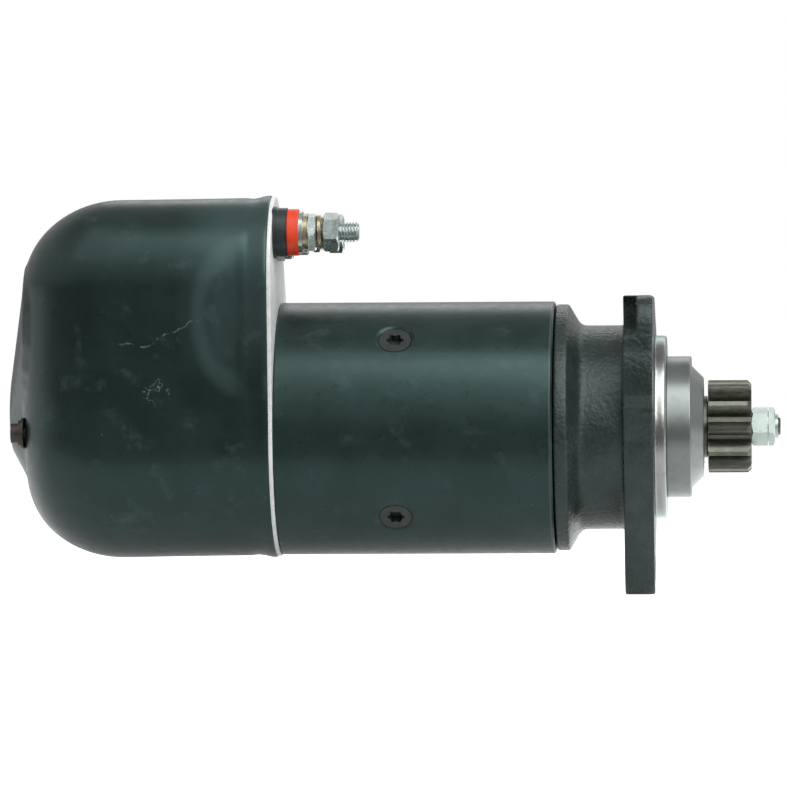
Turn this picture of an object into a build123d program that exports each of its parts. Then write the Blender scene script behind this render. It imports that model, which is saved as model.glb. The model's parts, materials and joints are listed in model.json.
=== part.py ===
from build123d import *
import os
from math import acos, asin, atan2, cos, degrees, hypot, pi, radians, sin, sqrt, tan

# Starter motor with a sliding pinion. X runs along the motor's axis towards the pinion, Z is
# up, and the origin is the centre of the mounting flange's front face. Millimetres throughout.

os.makedirs("parts", exist_ok=True)

# ---- Driving dimensions -------------------------------------------------------------------
RUNNING_GAP = 0.05          # radial clearance of every shaft in its bearing or bore
FIT_GAP = 0.02              # clearance of a located fit inside one body

# Mounting flange and drive end bracket
PILOT_R, PILOT_LENGTH = 46.0, 6.0
FLANGE_THICKNESS = 15.0
BOLT_CIRCLE_R, BOLT_HOLE_R = 73.0, 6.75
FIRST_BOLT_ANGLE, BOLT_COUNT = 15.7, 3      # degrees from +Y towards +Z
FAR_LUG_R, NEAR_LUG_R, LOW_LUG_R = 14.0, 14.7, 13.0
SPOT_FACE_R, SPOT_FACE_DEPTH, SPOT_FACE_FILLET = 15.3, 9.0, 5.0
NECK_R, BRACKET_BORE_R = 51.3, 45.0
RIM_R, RIM_FRONT_X, RIM_REAR_X = 62.0, -43.1, -49.5
SPIGOT_R = 56.4

# Nose cap, bearing and seal
CAP_R, CAP_SPIGOT_R, CAP_BORE_R = 35.5, 30.0, 20.0
CAP_SHOULDER_X, CAP_FRONT_X = 18.3, 24.4
CAP_CONE_R, CAP_NOSE_R = 30.8, 24.8

# Yoke and field
YOKE_R, YOKE_BORE_R = 63.5, 56.5
YOKE_REAR_X, YOKE_FRONT_X = -188.5, -50.0
POLE_X, POLE_COUNT = -128.5, 4
POLE_ANGLES = [45 + 90 * index for index in range(POLE_COUNT)]
POLE_FACE_R, POLE_LENGTH = 39.0, 72.0
COIL_INNER_R, COIL_LENGTH = 43.0, 88.0
RECESS_R, HEAD_R, HEAD_FACE_R, HEAD_SEAT_R = 11.0, 8.0, 62.2, 61.0
POLE_SCREW_R = 5.0
BOLT_R, BOLT_PITCH_R = 3.0, 51.5

# Armature
ARMATURE_R, ARMATURE_REAR_X, ARMATURE_FRONT_X = 38.0, -165.0, -92.0
SLOT_COUNT, SLOT_WIDTH, SLOT_DEPTH = 16, 4.0, 12.0
SHAFT_R, SHAFT_BORE_R, JOURNAL_R = 10.0, 5.5, 9.0
SHAFT_REAR_X, SHAFT_FRONT_X, BUSH_R = -239.0, -70.0, 13.0
WEB_REAR_X, WEB_FRONT_X = -82.0, -76.0
COMMUTATOR_R, COMMUTATOR_REAR_X, COMMUTATOR_FRONT_X = 22.0, -222.0, -188.0
SEGMENT_COUNT = 32

# Commutator end shield and rear cover: a round outline joined to a smaller round lobe
COVER_R, LOBE_R = 63.8, 42.5
LOBE_Y, LOBE_Z = -28.5, 73.5
COVER_WALL, COVER_CORNER_R, COVER_CORNER_LENGTH = 1.5, 41.5, 48.7
COVER_LIP_X, COVER_REAR_X = -190.4, -316.3
COVER_FLARE, COVER_FLARE_LENGTH = 0.9, 7.0
SHIELD_REGISTER_X = -197.0
CUP_R, CUP_BORE_R, CUP_FLOOR_X, CUP_REAR_X = 58.0, 53.0, -233.0, -240.0
BOSS_TOP_X, BOSS_EDGE_X, BOSS_ROOT_X = -326.0, -315.4, -308.0
BOSS_TOP_R, BOSS_TOP_CENTRE = 20.0, (13.0, 11.0)
BOSS_LONG_R, BOSS_SHORT_R, BOSS_CENTRE, BOSS_TILT = 65.7, 22.0, (0.9, 26.4), 120.5
screw_place = (-27.0, -1.5)

# Brush gear
BRUSH_X, BRUSH_LENGTH, BRUSH_WIDTH = -207.0, 18.0, 10.0
BRUSH_INNER_R, BRUSH_OUTER_R = 22.1, 40.0
BRUSH_GAP = 0.1
PLATE_REAR_X, PLATE_FRONT_X = -221.5, -217.6

# Terminals: studs 30 and 31 side by side, and the small control stud between them
TERMINAL_Z, NEAR_TERMINAL_Y, FAR_TERMINAL_Y = 98.0, -45.5, -11.5
CONTROL_Y, CONTROL_Z = -28.5, 89.5
STUD_R, STUD_COVERED_R, STUD_HEAD_R, STUD_REAR_X = 5.0, 4.8, 8.5, -205.0
STUD_FRONT_X = (-146.1, -148.6)
LEAD_NUT_REAR_X, LEAD_NUT_FRONT_X, STUD_CHAMFER = -163.7, -155.9, 0.8
COLLAR_R, COLLAR_REAR_X = 12.9, -190.3
MARKER_RING_X, FLAT_WASHER_X, CONTACT_WASHER_X = -181.6, -175.8, -173.9
JAM_NUT_REAR_X, JAM_NUT_FRONT_X = -171.6, -167.1
NUT_FLATS = 17.0

# Solenoid and relay
SOLENOID_R, SOLENOID_REAR_X, SOLENOID_FRONT_X = 36.0, -300.0, -240.0
PLUNGER_R, PLUNGER_REAR_X, PLUNGER_FRONT_X = 13.0, -299.0, -267.3
CORE_REAR_X = -245.0
RELAY_R, RELAY_REAR_X, RELAY_FRONT_X = 20.0, -272.0, -228.0
BRIDGE_FRONT_X, FIXED_CONTACT_X = -215.0, -211.9

# Clutch and drive
DRUM_R, DRUM_BORE_R, DRUM_FRONT_X = 42.0, 38.0, -32.0
PLATE_PITCH, PLATE_COUNT, FIRST_PLATE_X = 4.2, 4, -66.0
SPINDLE_R, SPINDLE_FRONT_X, SPINDLE_REAR_X = 15.5, 26.3, -68.0
SPINDLE_HUB_R, SPLINE_R, SPLINE_TIP_R, SPLINE_WIDTH, SPLINE_COUNT = 18.9, 9.0, 10.6, 3.4, 6
ROD_R, THREAD_R = 4.5, 4.9
PINION_MODULE, PINION_TEETH, PINION_R = 3.5, 11, 23.4
PINION_REAR_X, PINION_FRONT_X, PINION_CHAMFER = 26.6, 48.3, 1.9
PINION_TURN = -2.7          # degrees from -Y towards -Z, where one tooth stands
NUT_FRONT_X, NUT_COLLAR_X, ROD_FRONT_X = 60.2, 61.7, 62.9
NUT_COLLAR_R, NUT_GROOVE_X, NUT_GROOVE, NUT_GROOVE_R = 6.15, 56.4, 0.5, 8.0


# ---- Helpers ------------------------------------------------------------------------------
def bar(x_from, x_to, radius, centre=(0, 0), mode=Mode.ADD):
    """Add or cut a round bar that runs along X."""
    with BuildSketch(Plane.YZ.offset(x_from)) as section:
        with Locations(centre):
            Circle(radius)
    extrude(section.sketch, amount=x_to - x_from, mode=mode)


def ring(x_from, x_to, outer_r, inner_r, centre=(0, 0)):
    """Add a round ring or tube that runs along X."""
    with BuildSketch(Plane.YZ.offset(x_from)) as section:
        with Locations(centre):
            Circle(outer_r)
            Circle(inner_r, mode=Mode.SUBTRACT)
    extrude(section.sketch, amount=x_to - x_from)


def turned(*points, radii=0, mode=Mode.ADD):
    """Revolve a closed profile of (x, radius) corners about the motor's axis."""
    with BuildSketch(Plane.XZ) as profile:
        with BuildLine():
            FilletPolyline(*points, radius=radii, close=True)
        make_face()
    revolve(profile.sketch, axis=Axis.X, mode=mode)


def block(x_from, x_to, width, height, centre, angle=0, mode=Mode.ADD):
    """Add or cut a block along X, its section turned by an angle about the motor's axis."""
    with BuildSketch(Plane.YZ.offset(x_from)) as section:
        with Locations(Location(centre, angle)):
            Rectangle(width, height)
    extrude(section.sketch, amount=x_to - x_from, mode=mode)


def radial_plane(angle, radius, x):
    """A plane square to the radius at an angle from +Y, facing outwards, with its x along X."""
    out = Vector(0, cos(radians(angle)), sin(radians(angle)))
    return Plane(origin=Vector(x, 0, 0) + out * radius, x_dir=(1, 0, 0), z_dir=out)


def radial_bar(angle, x, r_from, r_to, radius, end_radius=None, mode=Mode.ADD):
    """Add or cut a round bar or cone along a radius of the motor."""
    with BuildSketch(radial_plane(angle, r_from, x)) as start:
        Circle(radius)
    if end_radius is None:
        extrude(start.sketch, amount=r_to - r_from, mode=mode)
    else:
        with BuildSketch(radial_plane(angle, r_to, x)) as end:
            Circle(end_radius)
        loft([start.sketch.face(), end.sketch.face()], mode=mode)


def sector(x_from, x_to, inner_r, outer_r, angle, half_width, mode=Mode.ADD):
    """Add or cut a stretch of ring that spans an angle either side of a direction from +Y."""
    with BuildSketch(Plane.YZ.offset(x_from)) as section:
        with BuildLine():
            low, high = angle - half_width, angle + half_width
            inner = CenterArc((0, 0), inner_r, low, high - low)
            outer = CenterArc((0, 0), outer_r, low, high - low)
            Line(inner @ 0, outer @ 0)
            Line(inner @ 1, outer @ 1)
        make_face()
    extrude(section.sketch, amount=x_to - x_from, mode=mode)


def oval(x_from, x_to, grow, mode=Mode.ADD):
    """Add or cut the cover's outline, grown outwards, as a prism along X."""
    with BuildSketch(Plane.YZ.offset(x_from)) as outline:
        Circle(COVER_R + grow)
        with Locations((LOBE_Y, LOBE_Z)):
            Circle(LOBE_R + grow)
        make_hull()
    extrude(outline.sketch, amount=x_to - x_from, mode=mode)


def chamfered_nut(x_from, x_to, flats, bore_r, turn=0):
    """A hexagon nut on the motor's axis, with its corners turned off at both ends."""
    corner_r = flats / sqrt(3)
    face_r = flats / 2 - 0.3
    slope = (corner_r - face_r) * tan(radians(30))
    with BuildPart() as nut:
        with BuildSketch(Plane.YZ.offset(x_from)) as hexagon:
            RegularPolygon(corner_r, 6, rotation=turn)
            Circle(bore_r, mode=Mode.SUBTRACT)
        extrude(hexagon.sketch, amount=x_to - x_from)
        turned((x_from, 0), (x_from, face_r), (x_from + slope, corner_r),
               (x_to - slope, corner_r), (x_to, face_r), (x_to, 0), mode=Mode.INTERSECT)
    return nut.part


def coil_spring(start, direction, length, coil_r, wire_r, turns):
    """A round-wire compression spring that starts at a point and runs in a direction."""
    with BuildPart() as spring:
        with BuildLine() as path:
            Helix(length / turns, length, coil_r, center=start, direction=direction)
        with BuildSketch(Plane(origin=path.line @ 0, z_dir=path.line % 0)):
            Circle(wire_r)
        sweep(path=path.line, is_frenet=True)
    return spring.part


def terminal_places():
    """The two main studs, as places in the plane of the end shield."""
    return [(0, NEAR_TERMINAL_Y, TERMINAL_Z), (0, FAR_TERMINAL_Y, TERMINAL_Z)]


def terminal_piece(x_from, x_to, outer_r, inner_r):
    """The same ring on both main studs."""
    for _, y, z in terminal_places():
        ring(x_from, x_to, outer_r, inner_r, (y, z))


def save(builder, name):
    """Label a finished piece and write it as a STEP file."""
    builder.part.label = name
    export_step(builder.part, f"parts/{name}.step")


def tangent_point(point, centre, radius, side):
    """Where a line from a point touches a circle; side is +1 or -1."""
    span = hypot(centre[0] - point[0], centre[1] - point[1])
    heading = atan2(centre[1] - point[1], centre[0] - point[0])
    heading += side * asin(radius / span)
    reach = sqrt(span**2 - radius**2)
    return point[0] + reach * cos(heading), point[1] + reach * sin(heading)


bolt_places = [
    (BOLT_CIRCLE_R * cos(radians(FIRST_BOLT_ANGLE + 360 / BOLT_COUNT * index)),
     BOLT_CIRCLE_R * sin(radians(FIRST_BOLT_ANGLE + 360 / BOLT_COUNT * index)))
    for index in range(BOLT_COUNT)
]
far_bolt, near_bolt, low_bolt = bolt_places

# ---- Drive end bracket --------------------------------------------------------------------
flange_top_z = near_bolt[1] + NEAR_LUG_R
step_top, step_end = (-66.9, 38.0), (-65.2, 15.5)
facet_top = (-59.8, 10.5)
facet_end = tangent_point(facet_top, low_bolt, LOW_LUG_R, -1)

with BuildPart() as spot_face:
    bar(-FLANGE_THICKNESS, -FLANGE_THICKNESS + SPOT_FACE_DEPTH, SPOT_FACE_R, near_bolt)
    fillet(spot_face.faces().sort_by(Axis.X)[-1].edges(), SPOT_FACE_FILLET)

with BuildPart() as drive_end_bracket:
    with BuildSketch(Plane.YZ.offset(-FLANGE_THICKNESS)) as flange_outline:
        with Locations(near_bolt):
            Circle(NEAR_LUG_R)
        with Locations((-8, flange_top_z - 6)):
            Circle(6)
        with Locations(far_bolt):
            Circle(FAR_LUG_R)
        with Locations(low_bolt):
            Circle(LOW_LUG_R)
        make_hull()
        Circle(NECK_R + 3)
        with BuildLine():
            Line((near_bolt[0] - NEAR_LUG_R, near_bolt[1]), step_top)
            ThreePointArc(step_top, (-67.3, 26), step_end)
            Polyline(step_end, facet_top, facet_end, low_bolt, (0, 0), near_bolt,
                     (near_bolt[0] - NEAR_LUG_R, near_bolt[1]))
        make_face()
    extrude(flange_outline.sketch, amount=FLANGE_THICKNESS)
    bar(-FLANGE_THICKNESS, 0, BRACKET_BORE_R, mode=Mode.SUBTRACT)
    turned((RIM_REAR_X - 5.5, BRACKET_BORE_R + 5), (RIM_REAR_X - 5.5, SPIGOT_R),
           (RIM_REAR_X, SPIGOT_R), (RIM_REAR_X, RIM_R), (RIM_FRONT_X, RIM_R),
           (RIM_FRONT_X + 6.2, NECK_R), (-FLANGE_THICKNESS, NECK_R), (-FLANGE_THICKNESS + 4, PILOT_R),
           (PILOT_LENGTH, PILOT_R), (PILOT_LENGTH, CAP_SPIGOT_R), (-6, CAP_SPIGOT_R),
           (-6, BRACKET_BORE_R - 3), (-12, BRACKET_BORE_R), (RIM_REAR_X, BRACKET_BORE_R),
           radii=[0.5, 0.5, 0, 1, 0.8, 5, 0, 0, 1, 0, 0, 0, 4, 0])
    add(spot_face.part, mode=Mode.SUBTRACT)
    for place in bolt_places:
        bar(-FLANGE_THICKNESS, 0, BOLT_HOLE_R, place, mode=Mode.SUBTRACT)
    for side in (-1, 1):
        bar(RIM_REAR_X - 6, RIM_FRONT_X + 4, BOLT_R + FIT_GAP, (side * BOLT_PITCH_R, 0),
            mode=Mode.SUBTRACT)
save(drive_end_bracket, "drive_end_bracket")

# ---- Nose cap, bearing and seal -----------------------------------------------------------
with BuildPart() as nose_cap:
    turned((-6, CAP_BORE_R), (-6, CAP_SPIGOT_R - FIT_GAP), (PILOT_LENGTH, CAP_SPIGOT_R - FIT_GAP),
           (PILOT_LENGTH, CAP_R), (CAP_SHOULDER_X, CAP_R), (CAP_SHOULDER_X, CAP_CONE_R),
           (CAP_FRONT_X, CAP_NOSE_R), (CAP_FRONT_X, SPINDLE_R + 0.5), (21, SPINDLE_R + 0.5),
           (21, CAP_BORE_R), radii=[0, 0, 0, 0.5, 0.8, 0.3, 0.5, 0, 0, 0])
save(nose_cap, "nose_cap")

with BuildPart() as drive_end_bearing:
    ring(-5, 13, CAP_BORE_R - FIT_GAP, SPINDLE_R + RUNNING_GAP)
save(drive_end_bearing, "drive_end_bearing")

with BuildPart() as shaft_seal:
    turned((14, CAP_BORE_R - FIT_GAP), (20.9, CAP_BORE_R - FIT_GAP), (20.9, SPINDLE_R + 2.5),
           (19.6, SPINDLE_R + RUNNING_GAP), (18.8, SPINDLE_R + RUNNING_GAP), (17, SPINDLE_R + 2),
           (14, SPINDLE_R + 2.5))
save(shaft_seal, "shaft_seal")

# ---- Yoke and field -----------------------------------------------------------------------
with BuildPart() as yoke:
    ring(YOKE_REAR_X, YOKE_FRONT_X, YOKE_R, YOKE_BORE_R)
    end_edges = yoke.edges().filter_by(GeomType.CIRCLE)
    outer_ends = [edge for edge in end_edges if edge.radius > YOKE_R - 1]
    chamfer(outer_ends, 0.8)
    for angle in POLE_ANGLES:
        radial_bar(angle, POLE_X, HEAD_FACE_R, YOKE_R + 0.6, HEAD_R + 0.3, RECESS_R, Mode.SUBTRACT)
        radial_bar(angle, POLE_X, HEAD_SEAT_R, HEAD_FACE_R, HEAD_R + 0.3, mode=Mode.SUBTRACT)
        radial_bar(angle, POLE_X, YOKE_BORE_R, HEAD_SEAT_R, POLE_SCREW_R + 0.3, HEAD_R + 0.3,
                   Mode.SUBTRACT)
        radial_bar(angle, POLE_X, YOKE_BORE_R - 2, YOKE_R, POLE_SCREW_R + 0.3, mode=Mode.SUBTRACT)
save(yoke, "yoke")

with BuildPart() as pole_shoes:
    for angle in POLE_ANGLES:
        x_from, x_to = POLE_X - POLE_LENGTH / 2, POLE_X + POLE_LENGTH / 2
        sector(x_from, x_to, POLE_FACE_R, COIL_INNER_R - 0.2, angle, 36)
        sector(x_from, x_to, COIL_INNER_R - 0.2, YOKE_BORE_R - FIT_GAP, angle, 21)
        radial_bar(angle, POLE_X, 44, 58, POLE_SCREW_R + FIT_GAP, mode=Mode.SUBTRACT)
save(pole_shoes, "pole_shoes")

with BuildPart() as pole_shoe_screws:
    for angle in POLE_ANGLES:
        radial_bar(angle, POLE_X, 46, YOKE_BORE_R, POLE_SCREW_R)
        radial_bar(angle, POLE_X, YOKE_BORE_R, HEAD_SEAT_R, POLE_SCREW_R, HEAD_R)
        radial_bar(angle, POLE_X, HEAD_SEAT_R, HEAD_FACE_R, HEAD_R)
        socket_floor = radial_plane(angle, HEAD_FACE_R - 4, POLE_X)
        with BuildSketch(socket_floor) as socket:
            Circle(3.5)
            with PolarLocations(3.4, 6):
                Circle(0.95)
            with PolarLocations(4.3, 6, start_angle=30):
                Circle(1.0, mode=Mode.SUBTRACT)
        extrude(socket.sketch, amount=5, mode=Mode.SUBTRACT)
save(pole_shoe_screws, "pole_shoe_screws")

with BuildPart() as field_coils:
    for angle in POLE_ANGLES:
        x_from, x_to = POLE_X - COIL_LENGTH / 2, POLE_X + COIL_LENGTH / 2
        sector(x_from, x_to, COIL_INNER_R, YOKE_BORE_R - 0.6, angle, 38)
        pole_from, pole_to = POLE_X - POLE_LENGTH / 2 - 0.5, POLE_X + POLE_LENGTH / 2 + 0.5
        sector(pole_from, pole_to, COIL_INNER_R - 1, YOKE_BORE_R, angle, 22, Mode.SUBTRACT)
save(field_coils, "field_coils")

with BuildPart() as through_bolts:
    for side in (-1, 1):
        place = (side * BOLT_PITCH_R, 0)
        bar(CUP_REAR_X, RIM_FRONT_X + 3, BOLT_R, place)
        bar(CUP_REAR_X - 4, CUP_REAR_X, BOLT_R + 2, place)
save(through_bolts, "through_bolts")

with BuildPart() as intermediate_bearing_plate:
    ring(WEB_REAR_X, WEB_FRONT_X, YOKE_BORE_R - FIT_GAP, BUSH_R)
    for side in (-1, 1):
        bar(WEB_REAR_X, WEB_FRONT_X, BOLT_R + 0.3, (side * BOLT_PITCH_R, 0), mode=Mode.SUBTRACT)
save(intermediate_bearing_plate, "intermediate_bearing_plate")

with BuildPart() as intermediate_bush:
    ring(WEB_REAR_X - 1, WEB_FRONT_X + 1, BUSH_R - FIT_GAP, SHAFT_R + RUNNING_GAP)
save(intermediate_bush, "intermediate_bush")

# ---- Armature -----------------------------------------------------------------------------
slot_centre_r = ARMATURE_R - SLOT_DEPTH / 2

with BuildPart() as armature_shaft:
    turned((SHAFT_REAR_X, SHAFT_BORE_R), (SHAFT_REAR_X, JOURNAL_R), (-227, JOURNAL_R),
           (-227, SHAFT_R), (SHAFT_FRONT_X, SHAFT_R), (SHAFT_FRONT_X, SHAFT_BORE_R))
save(armature_shaft, "armature_shaft")

with BuildPart() as armature_core:
    ring(ARMATURE_REAR_X, ARMATURE_FRONT_X, ARMATURE_R, SHAFT_R + FIT_GAP)
    for index in range(SLOT_COUNT):
        turn = 360 / SLOT_COUNT * index
        centre = (slot_centre_r * cos(radians(turn)), slot_centre_r * sin(radians(turn)))
        block(ARMATURE_REAR_X, ARMATURE_FRONT_X, SLOT_DEPTH, SLOT_WIDTH, centre, turn,
              Mode.SUBTRACT)
save(armature_core, "armature_core")

with BuildPart() as armature_windings:
    turned((-187.9, 13), (-187.9, 26), (-181, 36), (ARMATURE_REAR_X, 36), (ARMATURE_REAR_X, 13))
    ring(ARMATURE_FRONT_X, -85, 36, 13)
    for index in range(SLOT_COUNT):
        turn = 360 / SLOT_COUNT * index
        reach = slot_centre_r - 1.5
        centre = (reach * cos(radians(turn)), reach * sin(radians(turn)))
        block(ARMATURE_REAR_X, ARMATURE_FRONT_X, SLOT_DEPTH - 3.5, SLOT_WIDTH - 0.2, centre, turn)
save(armature_windings, "armature_windings")

with BuildPart() as commutator:
    turned((COMMUTATOR_REAR_X, SHAFT_R + FIT_GAP), (COMMUTATOR_REAR_X, COMMUTATOR_R),
           (-192, COMMUTATOR_R), (-192, 26), (COMMUTATOR_FRONT_X, 26),
           (COMMUTATOR_FRONT_X, SHAFT_R + FIT_GAP))
    for index in range(SEGMENT_COUNT):
        turn = 360 / SEGMENT_COUNT * index
        centre = (COMMUTATOR_R * cos(radians(turn)), COMMUTATOR_R * sin(radians(turn)))
        block(COMMUTATOR_REAR_X, -192, 1.6, 0.6, centre, turn, Mode.SUBTRACT)
save(commutator, "commutator")

# ---- Commutator end shield, cover seal and rear cover -------------------------------------
SEAL_REAR_X, SEAL_FRONT_X, SEAL_DEPTH = -195.5, -192.5, 2.4
oval_to_wall = -COVER_WALL - FIT_GAP

with BuildPart() as commutator_end_shield:
    oval(COVER_LIP_X, YOKE_REAR_X, 0.4)
    shield_edges = commutator_end_shield.faces().sort_by(Axis.X)[-1].outer_wire().edges()
    fillet(shield_edges, 0.7)
    oval(SHIELD_REGISTER_X, SEAL_REAR_X, oval_to_wall)
    oval(SEAL_REAR_X, SEAL_FRONT_X, oval_to_wall - SEAL_DEPTH)
    oval(SEAL_FRONT_X, COVER_LIP_X, oval_to_wall)
    bar(CUP_REAR_X, SHIELD_REGISTER_X, CUP_R)
    bar(YOKE_REAR_X, YOKE_REAR_X + 4, SPIGOT_R)
    bar(CUP_FLOOR_X, YOKE_REAR_X + 4, CUP_BORE_R, mode=Mode.SUBTRACT)
    bar(CUP_REAR_X, CUP_FLOOR_X, BUSH_R, mode=Mode.SUBTRACT)
    for side in (-1, 1):
        bar(CUP_REAR_X, YOKE_REAR_X + 4, BOLT_R + FIT_GAP, (side * BOLT_PITCH_R, 0),
            mode=Mode.SUBTRACT)
    for _, y, z in terminal_places():
        bar(COLLAR_REAR_X, YOKE_REAR_X, COLLAR_R + 0.15, (y, z), mode=Mode.SUBTRACT)
        bar(SHIELD_REGISTER_X, YOKE_REAR_X, 8, (y, z), mode=Mode.SUBTRACT)
    bar(SHIELD_REGISTER_X, YOKE_REAR_X, 4 + FIT_GAP, (CONTROL_Y, CONTROL_Z), mode=Mode.SUBTRACT)
    block(-214, -204, 20, 14, (-12.5, 56), mode=Mode.SUBTRACT)
save(commutator_end_shield, "commutator_end_shield")

with BuildPart() as commutator_end_bush:
    ring(CUP_REAR_X, CUP_FLOOR_X + 4, BUSH_R - FIT_GAP, JOURNAL_R + RUNNING_GAP)
save(commutator_end_bush, "commutator_end_bush")

with BuildPart() as cover_seal:
    oval(SEAL_REAR_X, SEAL_FRONT_X, oval_to_wall)
    oval(SEAL_REAR_X, SEAL_FRONT_X, oval_to_wall - SEAL_DEPTH, Mode.SUBTRACT)
save(cover_seal, "cover_seal")


def cover_solid(shrink):
    """The cover's outer form or its hollow: an oval prism with a long elliptical rear corner."""
    stretch = COVER_CORNER_LENGTH / COVER_CORNER_R
    with BuildPart() as form:
        oval(0, (COVER_REAR_X + shrink - COVER_LIP_X) / stretch, -shrink)
        rear_face = faces().sort_by(Axis.X)[0]
        fillet(rear_face.outer_wire().edges(), COVER_CORNER_R - shrink)
        scale(by=(stretch, 1, 1))
    return form.part.moved(Location((COVER_LIP_X, 0, 0)))


def boss_solid(shrink):
    """The long dished boss on the rear wall, or the hollow behind it."""
    with BuildPart() as boss:
        with BuildSketch(Plane.YZ.offset(BOSS_EDGE_X + shrink)) as edge:
            with Locations(Location(BOSS_CENTRE, BOSS_TILT)):
                Ellipse(BOSS_LONG_R - shrink, BOSS_SHORT_R - shrink)
        with BuildSketch(Plane.YZ.offset(BOSS_TOP_X + shrink)) as top:
            with Locations(Location(BOSS_TOP_CENTRE, BOSS_TILT)):
                Ellipse(BOSS_TOP_R - shrink + 0.5, BOSS_TOP_R - shrink)
        loft([edge.sketch.face(), top.sketch.face()])
        extrude(edge.sketch, amount=BOSS_ROOT_X - BOSS_EDGE_X)
    return boss.part


with BuildPart() as cover_space:
    add(cover_solid(COVER_WALL))
    add(boss_solid(COVER_WALL))

with BuildPart() as rear_cover:
    add(cover_solid(0))
    add(boss_solid(0))
    oval(COVER_LIP_X, COVER_LIP_X - COVER_FLARE_LENGTH, COVER_FLARE)
    add(cover_space.part, mode=Mode.SUBTRACT)
    bar(COVER_REAR_X - 5, COVER_REAR_X + 5, 3.2, screw_place, mode=Mode.SUBTRACT)
save(rear_cover, "rear_cover")

with BuildPart() as cover_screw:
    head_x = COVER_REAR_X - 2.8
    bar(-306, head_x, 2.9, screw_place)
    bar(head_x - 3.7, head_x, 4.9, screw_place)
    block(head_x - 3.7, head_x - 2.2, 1.2, 11, screw_place, 20, mode=Mode.SUBTRACT)
save(cover_screw, "cover_screw")

with BuildPart() as cover_washer:
    ring(COVER_REAR_X - 1.2, COVER_REAR_X - 0.02, 7.7, 3.0, screw_place)
    ring(COVER_REAR_X - 2.78, COVER_REAR_X - 1.2, 6.4, 3.0, screw_place)
save(cover_washer, "cover_washer")

# ---- Brush gear ---------------------------------------------------------------------------
with BuildPart() as brush_plate:
    ring(PLATE_REAR_X, PLATE_FRONT_X, CUP_BORE_R - FIT_GAP, 30)
    for side in (-1, 1):
        bar(PLATE_REAR_X, PLATE_FRONT_X, BOLT_R + 1, (side * BOLT_PITCH_R, 0), mode=Mode.SUBTRACT)
save(brush_plate, "brush_plate")

box_reach = (27 + 45) / 2
brush_reach = (BRUSH_INNER_R + BRUSH_OUTER_R) / 2
brush_rear_x, brush_front_x = BRUSH_X - BRUSH_LENGTH / 2, BRUSH_X + BRUSH_LENGTH / 2


def on_radius(angle, reach):
    """The (y, z) point at a distance from the axis, in a direction from +Y."""
    return reach * cos(radians(angle)), reach * sin(radians(angle))


with BuildPart() as brush_boxes:
    for angle in POLE_ANGLES:
        wall = 1.5
        centre = on_radius(angle, box_reach)
        opening = BRUSH_WIDTH + 2 * BRUSH_GAP
        block(brush_rear_x - wall, brush_front_x + wall, 18, opening + 2 * wall, centre, angle)
        block(brush_rear_x - BRUSH_GAP, brush_front_x + BRUSH_GAP, 20, opening, centre, angle,
              Mode.SUBTRACT)
save(brush_boxes, "brush_boxes")

for index, angle in enumerate(POLE_ANGLES):
    with BuildPart() as brush:
        block(brush_rear_x, brush_front_x, BRUSH_OUTER_R - BRUSH_INNER_R, BRUSH_WIDTH,
              on_radius(angle, brush_reach), angle)
        bar(brush_rear_x - 1, brush_front_x + 1, COMMUTATOR_R + RUNNING_GAP, mode=Mode.SUBTRACT)
    save(brush, f"brush_{index + 1}")

with BuildPart() as brush_springs:
    for angle in POLE_ANGLES:
        y, z = on_radius(angle, BRUSH_OUTER_R + 0.9)
        away = on_radius(angle, 1)
        add(coil_spring((BRUSH_X, y, z), (0, *away), 10.8, 3.4, 0.6, 4))
save(brush_springs, "brush_springs")

# ---- Terminals ----------------------------------------------------------------------------
with BuildPart() as terminal_studs:
    for (_, y, z), front_x in zip(terminal_places(), STUD_FRONT_X):
        bar(STUD_REAR_X - 3, STUD_REAR_X, STUD_HEAD_R, (y, z))
        bar(STUD_REAR_X, LEAD_NUT_FRONT_X, STUD_COVERED_R, (y, z))
        bar(LEAD_NUT_FRONT_X, front_x, STUD_R, (y, z))
        tips = terminal_studs.edges().filter_by(GeomType.CIRCLE).filter_by_position(
            Axis.X, front_x - FIT_GAP, front_x + FIT_GAP)
        chamfer(tips, STUD_CHAMFER)
save(terminal_studs, "terminal_studs")

with BuildPart() as terminal_insulators:
    terminal_piece(STUD_REAR_X + 0.02, SHIELD_REGISTER_X, STUD_HEAD_R, STUD_COVERED_R + FIT_GAP)
    terminal_piece(SHIELD_REGISTER_X, COLLAR_REAR_X, 8 - FIT_GAP, STUD_COVERED_R + FIT_GAP)
    terminal_piece(COLLAR_REAR_X, COLLAR_REAR_X + 3.1, COLLAR_R, STUD_COVERED_R + FIT_GAP)
    terminal_piece(COLLAR_REAR_X + 3.1, MARKER_RING_X, 12.2, STUD_COVERED_R + FIT_GAP)
save(terminal_insulators, "terminal_insulators")

stacked = [
    ("terminal_flat_washers", FLAT_WASHER_X, CONTACT_WASHER_X, 10.4),
    ("terminal_contact_washers", CONTACT_WASHER_X, JAM_NUT_REAR_X, 8.7),
    ("terminal_spring_washers", JAM_NUT_FRONT_X, LEAD_NUT_REAR_X, 8.7),
]
for name, x_from, x_to, outer_r in stacked:
    with BuildPart() as washers:
        terminal_piece(x_from, x_to, outer_r, STUD_COVERED_R + FIT_GAP)
    save(washers, name)

with BuildPart() as terminal_marker_rings:
    terminal_piece(MARKER_RING_X, FLAT_WASHER_X, 11.65, STUD_COVERED_R + FIT_GAP)
save(terminal_marker_rings, "terminal_marker_rings")

jam_nut = chamfered_nut(JAM_NUT_REAR_X, JAM_NUT_FRONT_X, NUT_FLATS, STUD_COVERED_R + FIT_GAP, turn=12)
lead_nut = chamfered_nut(LEAD_NUT_REAR_X, LEAD_NUT_FRONT_X, NUT_FLATS, STUD_COVERED_R + FIT_GAP, turn=22)
with BuildPart() as terminal_jam_nuts:
    with Locations(*terminal_places()):
        add(jam_nut)
save(terminal_jam_nuts, "terminal_jam_nuts")

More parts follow.
